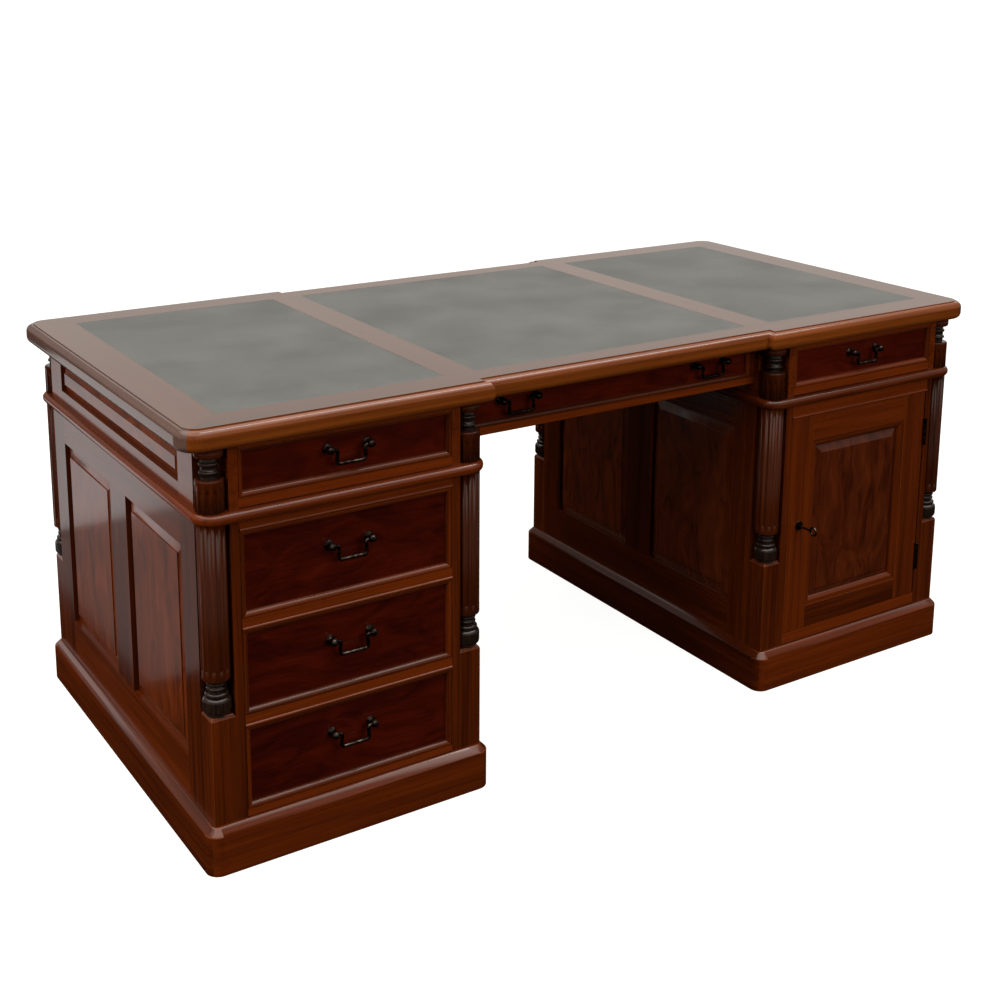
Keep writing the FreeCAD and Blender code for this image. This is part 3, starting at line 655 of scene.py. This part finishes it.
BORDER = PolishedMahogany("mahogany_border", "#361405", "#70370f", "#260c03", "#84481a")
# Darker, greyer mahogany for the top's upper faces: painted shade, as less light falls on them than on the
# fronts.
PAINTED_TOP_SHADE = PolishedMahogany("mahogany_painted_top_shade", "#27130a", "#4c2a19", "#1a0c06", "#5e3a24")
# Mauve-grey mahogany for the noses of the desk's ends: a painted reflection, the grey sheen a bright room
# leaves on the polished ends.
PAINTED_END_SHEEN = PolishedMahogany("mahogany_painted_end_sheen", "#38261f", "#523c34", "#2a1a14", "#5f463b")
STAINED = PolishedMahogany(
    "mahogany_stained", "#1b0702", "#3c1605", "#120401", "#52240a", coat=0.0, gloss=0.2
)
PANEL = FlameVeneer("mahogany_panel_veneer", "#3a1506", "#642a0e")
DOOR = FlameVeneer("mahogany_door_veneer", "#2a0c03", "#52200a")


@dataclass
class Finishes:
    """The desk's materials, each made once."""

    rail: bpy.types.Material = field(default_factory=PolishedMahogany().make)
    border: bpy.types.Material = field(default_factory=BORDER.make)
    # Painted shade for the top's upper faces.
    painted_top_shade: bpy.types.Material = field(default_factory=PAINTED_TOP_SHADE.make)
    # Painted sheen for the noses of the desk's ends.
    painted_end_sheen: bpy.types.Material = field(default_factory=PAINTED_END_SHEEN.make)
    turned: bpy.types.Material = field(default_factory=STAINED.make)
    veneer: bpy.types.Material = field(default_factory=FlameVeneer().make)
    panel: bpy.types.Material = field(default_factory=PANEL.make)
    door: bpy.types.Material = field(default_factory=DOOR.make)
    lining: bpy.types.Material = field(default_factory=OakLining().make)
    leather: bpy.types.Material = field(default_factory=WritingLeather().make)
    bronze: bpy.types.Material = field(default_factory=PatinatedBronze().make)
    ebony: bpy.types.Material = field(default_factory=EbonisedWood().make)


@dataclass
class Board:
    """One solid of a CAD node while it is being dressed."""

    low: Vector
    high: Vector

    @property
    def size(self) -> Vector:
        """The board's length in X, Y and Z."""
        return self.high - self.low

    @property
    def middle(self) -> Vector:
        """The board's middle point."""
        return (self.low + self.high) / 2


@dataclass
class Dressing:
    """Makes a finished copy of a CAD node: points merged, arrises softened, grain laid board by board.

    Lengths are in millimetres and angles in degrees; the mitre slack compares parts of a unit normal.
    """

    materials: list[bpy.types.Material]
    slot: str = "mahogany"
    arris: float = 1.0
    sharp: float = 28.0
    pick: Callable[[Board, Vector], int] = lambda board, place: 0
    grain: Callable[[Board, Vector], Grain] = lambda board, place: Grain.LONGEST
    shade: Callable[[Board, float], float] = lambda board, chance: chance
    same_point: float = 0.005
    merge_reach: float = 0.004
    least_edge: float = 0.001
    flat_angle: float = 0.4
    mitre_slack: float = 0.001

    def solids(self, mesh: bpy.types.Mesh) -> list[list[int]]:
        """Groups a node's loose triangles into its closed solids.

        Args:
            mesh: The CAD node's mesh.

        Returns:
            Triangle indices, one list for each solid.
        """
        places = np.zeros(len(mesh.vertices) * 3, np.float32)
        mesh.vertices.foreach_get("co", places)
        corners = np.zeros(len(mesh.loops), np.int32)
        mesh.loops.foreach_get("vertex_index", corners)
        keys = np.round(places.reshape(-1, 3).astype(float) / (self.same_point * MM)).astype(np.int64)
        _, same = np.unique(keys, axis=0, return_inverse=True)
        triangles = same.reshape(-1)[corners].reshape(-1, 3).tolist()
        groups: list[list[int]] = []
        current: list[int] = []
        unmatched: set[tuple[int, int]] = set()
        for index, (a, b, c) in enumerate(triangles):
            current.append(index)
            for start, end in ((a, b), (b, c), (c, a)):
                if start == end:
                    continue
                if (end, start) in unmatched:
                    unmatched.remove((end, start))
                else:
                    unmatched.add((start, end))
            if not unmatched:
                groups.append(current)
                current = []
        if current:
            groups.append(current)
        return groups

    def is_arris(self, edge: bmesh.types.BMEdge) -> bool:
        """Tells whether an edge is a sharp outer corner that hands and polish have softened.

        Args:
            edge: An edge of the merged copy.

        Returns:
            True for a convex sharp edge that isn't the closed line of a mitre.
        """
        if not (edge.is_manifold and edge.is_convex):
            return False
        if edge.calc_face_angle(0.0) <= math.radians(self.sharp):
            return False
        for face in edge.link_faces:
            parts = sorted(abs(part) for part in face.normal)
            if parts[0] < self.mitre_slack and parts[2] - parts[1] < self.mitre_slack:
                return False
        return True

    def soften(self, bm: bmesh.types.BMesh) -> None:
        """Rounds the arrises and marks the new faces as rubbed.

        Args:
            bm: The merged mesh.
        """
        mark = bm.faces.layers.float.new("arris")
        if not self.arris:
            return
        bmesh.ops.dissolve_limit(
            bm,
            angle_limit=math.radians(self.flat_angle),
            verts=bm.verts[:],
            edges=bm.edges[:],
            delimit=set(),
        )
        done = bmesh.ops.bevel(
            bm,
            geom=[edge for edge in bm.edges if self.is_arris(edge)],
            offset=self.arris * MM,
            offset_type="OFFSET",
            segments=2,
            profile=0.5,
            affect="EDGES",
            clamp_overlap=True,
            material=-1,
        )
        for face in done["faces"]:
            face[mark] = 1.0

    def lay_grain(self, bm: bmesh.types.BMesh) -> None:
        """Writes each face's grain coordinates and tone, and picks its finish.

        Args:
            bm: The merged mesh; every solid is one connected island.
        """
        laid = bm.loops.layers.float_vector.new("board")
        tone = bm.verts.layers.float.new("tone")
        seen: set[bmesh.types.BMVert] = set()
        count = 0
        for first in bm.verts:
            if first in seen:
                continue
            island = [first]
            seen.add(first)
            for vert in island:
                for edge in vert.link_edges:
                    other = edge.other_vert(vert)
                    if other not in seen:
                        seen.add(other)
                        island.append(other)
            low = Vector([min(vert.co[axis] for vert in island) for axis in range(3)])
            high = Vector([max(vert.co[axis] for vert in island) for axis in range(3)])
            board = Board(low, high)
            middle = board.middle
            phase = middle.x * SCATTER[0] + middle.y * SCATTER[1] + middle.z * SCATTER[2] + count
            seed = math.sin(phase) * SCATTER_GAIN
            chance = seed - math.floor(seed)
            slide = Vector([chance * reach for reach in GRAIN_SLIDE])
            for vert in island:
                vert[tone] = self.shade(board, chance)
            for face in {face for vert in island for face in vert.link_faces}:
                place = face.calc_center_median()
                face.material_index = self.pick(board, place)
                run = self.grain(board, place)
                axis = max(range(3), key=lambda i: board.size[i]) if run is Grain.LONGEST else run.value
                for loop in face.loops:
                    loop[laid] = Vector([loop.vert.co[(axis + turn) % 3] for turn in range(3)]) + slide
            count += 1

    def dress(self, node: str) -> None:
        """Builds the finished copy and lets it stand for the node.

        Args:
            node: The CAD node's name.
        """
        source = frame["nodes"][node]
        bm = bmesh.new()
        bm.from_mesh(source.data)
        bm.faces.ensure_lookup_table()
        groups = [[bm.faces[i] for i in group] for group in self.solids(source.data)]
        for group in groups:
            verts = list({vert for face in group for vert in face.verts})
            bmesh.ops.remove_doubles(bm, verts=verts, dist=self.merge_reach * MM)
        bmesh.ops.dissolve_degenerate(bm, dist=self.least_edge * MM, edges=bm.edges[:])
        self.soften(bm)
        self.lay_grain(bm)
        for face in bm.faces:
            face.smooth = True
        mesh = bpy.data.meshes.new(f"{node}_finished")
        for material in self.materials:
            mesh.materials.append(material)
        bm.to_mesh(mesh)
        bm.free()
        mesh.set_sharp_from_angle(angle=math.radians(self.sharp))
        piece = bpy.data.objects.new(f"{node}_finished", mesh)
        bpy.context.scene.collection.objects.link(piece)
        if self.arris:
            piece.modifiers.new("flat_faces", "WEIGHTED_NORMAL").keep_sharp = True
        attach(piece, source["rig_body"])
        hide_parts(node)
        LOG.info("%s: %d solids, %d faces", node, len(groups), len(mesh.polygons))


@dataclass
class DeskTop:
    """Border rails, crossbars and leather; lengths in millimetres."""

    finishes: Finishes
    border_arris: float = 0.5
    leather_arris: float = 0.8
    upper_face_depth: float = 0.3

    def border_finish(self, board: Board, place: Vector) -> int:
        """Picks a darker, greyer finish for upper faces, painted shade, and a mauve-grey one for the noses of
        the desk's ends, a painted sheen.

        Args:
            board: One border rail or crossbar.
            place: The middle of one of its faces.

        Returns:
            Index of the finish.
        """
        # Upper faces take the painted shade.
        if place.z > board.high.z - self.upper_face_depth * MM:
            return 1
        # The ends' noses take the painted sheen.
        return 2 if board.size.y > board.size.x else 0

    def build(self) -> None:
        """Dresses the top's nodes; the upper faces take painted shade and the ends' noses a painted sheen."""
        woods = [self.finishes.border, self.finishes.painted_top_shade, self.finishes.painted_end_sheen]
        Dressing(woods, arris=self.border_arris, pick=self.border_finish).dress("top_border")
        Dressing([self.finishes.lining], "lining").dress("top_core_board")
        Dressing([self.finishes.leather], "leather", arris=self.leather_arris).dress("leather_panels")


@dataclass
class Carcass:
    """Frieze, pedestals, columns, plinths and inner boards; lengths in millimetres, angles in degrees.

    A tone is the darkest value of a kind of board and how far chance may lift it.
    """

    finishes: Finishes
    frame_arris: float = 1.0
    plinth_arris: float = 1.4
    panel_arris: float = 0.7
    leaf_arris: float = 0.3
    turned_sharp: float = 40.0
    long_column: float = 200.0
    long_foot: tuple[float, float] = (0.0, 62.0)
    short_neck: tuple[float, float] = (56.0, 91.0)
    post_tone: tuple[float, float] = (0.0, 0.4)
    # Rails along X begin paler than other boards: a painted highlight over their random tone.
    rail_highlight_tone: tuple[float, float] = (1.1, 0.3)
    end_rail_tone: tuple[float, float] = (0.4, 0.4)
    plinth_tone: tuple[float, float] = (0.3, 0.5)
    # The plinths' end boards stay darker: painted shade low on the desk's ends.
    plinth_end_shade_tone: tuple[float, float] = (0.0, 0.15)

    def column_finish(self, board: Board, place: Vector) -> int:
        """Picks the black finish for a long column's foot and a short column's neck.

        Args:
            board: One column.
            place: The middle of one of its faces.

        Returns:
            Index of the finish.
        """
        low, high = self.long_foot if board.size.z > self.long_column * MM else self.short_neck
        return 1 if low * MM < place.z - board.low.z < high * MM else 0

    @staticmethod
    def cap_grain(board: Board, place: Vector) -> Grain:
        """Runs a capping board's grain along whichever edge is nearest.

        Args:
            board: One capping board.
            place: The middle of one of its faces.

        Returns:
            The grain's run there.
        """
        aside = min(place.x - board.low.x, board.high.x - place.x)
        ahead = min(place.y - board.low.y, board.high.y - place.y)
        return Grain.ALONG_X if ahead < aside else Grain.ALONG_Y

    @staticmethod
    def panel_grain(board: Board, place: Vector) -> Grain:
        """Stands the grain upright in tall panels and lays it along the long ones."""
        return Grain.UPRIGHT if board.size.z > board.size.y else Grain.ALONG_Y

    def frame_shade(self, board: Board, chance: float) -> float:
        """Keeps stiles and posts darker than the rails between them; besides each board's random tone, the
        rails along X are painted paler, a painted highlight.

        Args:
            board: One rail, stile or post.
            chance: A number from 0 to 1 that differs from board to board.

        Returns:
            The board's tone, dark at 0 and paler above it.
        """
        if board.size.z > max(board.size.x, board.size.y):
            least, lift = self.post_tone
        else:
            least, lift = self.rail_highlight_tone if board.size.x > board.size.y else self.end_rail_tone
        return least + lift * chance

    def plinth_shade(self, board: Board, chance: float) -> float:
        """Keeps the plinths' end boards darker than their long-side boards, painted shade over each board's
        random tone.
        """
        least, lift = self.plinth_end_shade_tone if board.size.y > board.size.x else self.plinth_tone
        return least + lift * chance

    def build(self) -> None:
        """Dresses the carcass's nodes."""
        wood = [self.finishes.rail]
        columns = [self.finishes.turned, self.finishes.ebony]
        for node in ("frieze_frame", "pedestal_frames", "column_blocks"):
            Dressing(wood, arris=self.frame_arris, shade=self.frame_shade).dress(node)
        Dressing(wood, arris=0.0, sharp=self.turned_sharp, grain=self.cap_grain).dress("pedestal_caps")
        Dressing(columns, arris=0.0, sharp=self.turned_sharp, pick=self.column_finish).dress("corner_columns")
        Dressing(wood, arris=self.plinth_arris, shade=self.plinth_shade).dress("plinths")
        Dressing([self.finishes.panel], arris=self.panel_arris, grain=self.panel_grain).dress("raised_panels")
        for node in ("inner_boards", "drawer_runners", "cupboard_shelves"):
            Dressing([self.finishes.lining], "lining").dress(node)
        Dressing([self.finishes.bronze], "bronze", arris=self.leaf_arris).dress("hinge_fixed_leaves")


@dataclass
class DrawerBank:
    """The six drawers of one side with their handles; lengths in millimetres, angles in degrees."""

    finishes: Finishes
    side: Side
    moulding_arris: float = 0.5
    moulding_depth: float = 10.0
    front_thickness: float = 22.0
    handle_sharp: float = 35.0
    rows: tuple[str, ...] = ("left_frieze", "centre_frieze", "right_frieze", "upper", "middle", "lower")

    def finish_of(self, board: Board, face: float) -> int:
        """Picks mahogany for mouldings, veneer for the front board and lining for the box.

        Args:
            board: One solid of the drawer.
            face: Where the drawer's face stands in Y, in metres.

        Returns:
            Index of the finish.
        """
        depth = abs(board.middle.y - face)
        if depth > self.front_thickness * MM:
            return 2
        return 0 if board.size.y < self.moulding_depth * MM else 1

    def build(self) -> None:
        """Dresses the drawers, handle posts and bails."""
        prefix = self.side.value
        woods = [self.finishes.rail, self.finishes.veneer, self.finishes.lining]
        handle = Dressing([self.finishes.bronze], "bronze", arris=0.0, sharp=self.handle_sharp)
        for row in self.rows:
            node = f"{prefix}_{row}_drawer"
            low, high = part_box(node)
            face = low.y if self.side is Side.FRONT else high.y
            drawer = Dressing(woods, arris=self.moulding_arris)
            drawer.pick = lambda board, place, face=face: self.finish_of(board, face)
            drawer.dress(node)
            handle.dress(f"{prefix}_{row}_posts")
            swings = ("left_bail", "right_bail") if row == "centre_frieze" else ("bail",)
            for swing in swings:
                handle.dress(f"{prefix}_{row}_{swing}")


@dataclass
class CupboardDoor:
    """One side's door with its fittings, key and bolt; lengths in millimetres, angles in degrees."""

    finishes: Finishes
    side: Side
    door_arris: float = 0.8
    metal_arris: float = 0.25
    metal_sharp: float = 35.0
    panel_least: float = 150.0

    def is_panel(self, board: Board) -> bool:
        """Tells the door's wide panel from its narrow rails and mouldings."""
        return min(board.size.x, board.size.z) > self.panel_least * MM

    def build(self) -> None:
        """Dresses the door and its metalwork."""
        prefix = self.side.value
        door = Dressing([self.finishes.rail, self.finishes.door], arris=self.door_arris)
        door.pick = lambda board, place: int(self.is_panel(board))
        door.grain = lambda board, place: Grain.UPRIGHT if self.is_panel(board) else Grain.LONGEST
        door.dress(f"{prefix}_door")
        metal = Dressing([self.finishes.bronze], "bronze", arris=self.metal_arris, sharp=self.metal_sharp)
        for node in ("door_fittings", "key", "lock_bolt"):
            metal.dress(f"{prefix}_{node}")


@dataclass(frozen=True)
class Softbox:
    """A rectangular area light, in metres and watts; polished faces show a mirrored one."""

    name: str
    place: tuple[float, float, float]
    target: tuple[float, float, float]
    size: tuple[float, float]
    power: float
    mirrored: bool = False

    def hang(self) -> None:
        """Adds the light to the scene, aimed at its target."""
        data = bpy.data.lights.new(self.name, "AREA")
        data.shape = "RECTANGLE"
        data.size, data.size_y = self.size
        data.energy = self.power
        lamp = bpy.data.objects.new(self.name, data)
        lamp.visible_camera = False
        lamp.visible_glossy = self.mirrored
        aim = Vector(self.target) - Vector(self.place)
        turn = aim.to_track_quat("-Z", "Y").to_matrix().to_4x4()
        lamp.matrix_world = Matrix.Translation(self.place) @ turn
        bpy.context.scene.collection.objects.link(lamp)


@dataclass
class Studio:
    """Pale floor, soft light and the photograph's camera, in metres; lens and sensor in millimetres."""

    eye: tuple[float, float, float] = (-1.69035, -2.53519, 1.48558)
    right: tuple[float, float, float] = (0.83920, -0.54378, 0.00665)
    up: tuple[float, float, float] = (0.10843, 0.17929, 0.97780)
    lens: float = 53.67
    sensor: float = 36.0
    shift_y: float = -0.2136
    view_reach: float = 100.0
    floor_size: float = 40.0
    floor_glow: float = 0.98
    dome_glow: float = 1.08
    sheet_dimming: float = 0.8
    sky_low: float = 0.25
    sky_high: float = 2.3
    window: tuple[float, float, float] = (0.6179, 0.7364, 0.2756)
    window_glow: float = 0.52
    lamps: tuple[Softbox, ...] = (
        Softbox("softbox_over", (0.4, -1.0, 3.2), (0.0, -0.4, 0.5), (3.6, 0.6), 20.0),
        Softbox("strip_over", (1.05, -0.5, 3.0), (1.05, -0.5, 0.0), (3.2, 0.3), 24.0, mirrored=True),
        Softbox("softbox_front", (0.8, -4.0, 1.9), (0.0, -0.3, 0.5), (3.0, 2.0), 112.0),
        Softbox("softbox_left", (-4.2, -0.2, 2.2), (-0.9, 0.0, 0.4), (3.0, 2.6), 200.0),
        Softbox("softbox_back", (-1.5, 3.0, 1.2), (0.3, 0.2, 0.4), (2.0, 1.5), 25.0),
        Softbox("card_left", (-1.355, 1.2, 0.26), (-1.355, 0.2, 0.26), (0.59, 0.48), 0.7, mirrored=True),
        Softbox("card_low", (-1.45, 0.72, 0.01), (-1.45, 0.72, 1.0), (0.9, 0.9), 0.45, mirrored=True),
    )

    def backdrop(self, name: str, bm: bmesh.types.BMesh, glow: float) -> None:
        """A pale sheet that the camera sees and that throws no light back at the desk.

        Args:
            name: The sheet's name.
            bm: Its shape.
            glow: How brightly it shines by itself.
        """
        material, tree, shader = new_material(f"pale_{name}")
        place = add_node(tree, "ShaderNodeTexCoord").outputs["Object"]
        mottle = add_node(tree, "ShaderNodeTexNoise", {"Vector": place, "Scale": 1.5, "Detail": 2.0})
        colour = add_node(
            tree,
            "ShaderNodeMix",
            {MIX_SHARE: mottle.outputs["Fac"], MIX_FROM: linear("#f6f6f4"), MIX_TO: linear("#fafaf8")},
            data_type="RGBA",
        )
        dimmed = add_node(
            tree,
            "ShaderNodeMix",
            {MIX_SHARE: self.sheet_dimming, MIX_FROM: colour.outputs[MIX_COLOUR], MIX_TO: linear("#000000")},
            data_type="RGBA",
        )
        tree.links.new(dimmed.outputs[MIX_COLOUR], shader.inputs["Base Color"])
        tree.links.new(colour.outputs[MIX_COLOUR], shader.inputs["Emission Color"])
        shader.inputs["Emission Strength"].default_value = glow
        shader.inputs["Roughness"].default_value = 0.9
        shader.inputs["Specular IOR Level"].default_value = 0.0
        mesh = bpy.data.meshes.new(name)
        mesh.materials.append(material)
        bm.to_mesh(mesh)
        bm.free()
        sheet = bpy.data.objects.new(name, mesh)
        bpy.context.scene.collection.objects.link(sheet)
        sheet.visible_diffuse = False
        sheet.visible_glossy = False
        sheet.visible_shadow = False

    def floor(self) -> None:
        """A wide pale floor under a pale dome."""
        ground = bmesh.new()
        bmesh.ops.create_grid(ground, x_segments=4, y_segments=4, size=self.floor_size / 2)
        self.backdrop("studio_floor", ground, self.floor_glow)
        dome = bmesh.new()
        bmesh.ops.create_icosphere(dome, subdivisions=4, radius=self.floor_size / 2)
        self.backdrop("studio_dome", dome, self.dome_glow)

    def light(self) -> None:
        """A dim room with a pale ceiling and one bright window behind the desk, and soft boxes round it."""
        world = bpy.data.worlds.new("studio_air")
        bpy.context.scene.world = world
        world.use_nodes = True
        tree = world.node_tree
        aim = add_node(tree, "ShaderNodeTexCoord").outputs["Generated"]
        height = add_node(tree, "ShaderNodeSeparateXYZ", {0: aim}).outputs["Z"]
        ground = add_node(
            tree,
            "ShaderNodeMapRange",
            {"Value": height, "From Min": -0.08, "From Max": 0.12, "To Min": 0.01},
            interpolation_type="SMOOTHSTEP",
        )
        ceiling = add_node(
            tree,
            "ShaderNodeMapRange",
            {
                "Value": height,
                "From Min": 0.6,
                "From Max": 0.85,
                "To Min": self.sky_low,
                "To Max": self.sky_high,
            },
            interpolation_type="SMOOTHSTEP",
        )
        facing = add_node(tree, "ShaderNodeVectorMath", {0: aim, 1: self.window}, operation="DOT_PRODUCT")
        window = add_node(
            tree,
            "ShaderNodeMapRange",
            {
                "Value": facing.outputs["Value"],
                "From Min": 0.809,
                "From Max": 0.899,
                "To Max": self.window_glow,
            },
            interpolation_type="SMOOTHSTEP",
        )
        air = add_node(tree, "ShaderNodeMath", {0: ceiling.outputs[0], 1: window.outputs[0]}, operation="ADD")
        lit = add_node(
            tree, "ShaderNodeMath", {0: air.outputs[0], 1: ground.outputs[0]}, operation="MULTIPLY"
        )
        tree.links.new(lit.outputs[0], tree.nodes["Background"].inputs["Strength"])
        tree.nodes["Background"].inputs["Color"].default_value = linear("#fffaf2")
        for lamp in self.lamps:
            lamp.hang()

    def camera(self) -> None:
        """The camera found from the photograph's edges."""
        data = bpy.data.cameras.new("photo_camera")
        data.sensor_width = self.sensor
        data.lens = self.lens
        data.shift_y = self.shift_y
        data.clip_end = self.view_reach
        camera = bpy.data.objects.new("photo_camera", data)
        right, up = Vector(self.right).normalized(), Vector(self.up).normalized()
        back = right.cross(up)
        turn = Matrix((right, up, back)).transposed().to_4x4()
        camera.matrix_world = Matrix.Translation(self.eye) @ turn
        bpy.context.scene.collection.objects.link(camera)
        bpy.context.scene.camera = camera

    def build(self) -> None:
        """Sets the stage."""
        self.floor()
        self.light()
        self.camera()
        bpy.context.scene.view_settings.view_transform = "Standard"


def main() -> None:
    """Builds every sub-assembly in order."""
    logging.basicConfig(level=logging.INFO, format="%(name)s %(message)s")
    finishes = Finishes()
    DeskTop(finishes).build()
    Carcass(finishes).build()
    for side in Side:
        DrawerBank(finishes, side).build()
        CupboardDoor(finishes, side).build()
    Studio().build()


if __name__ == "__main__":
    main()
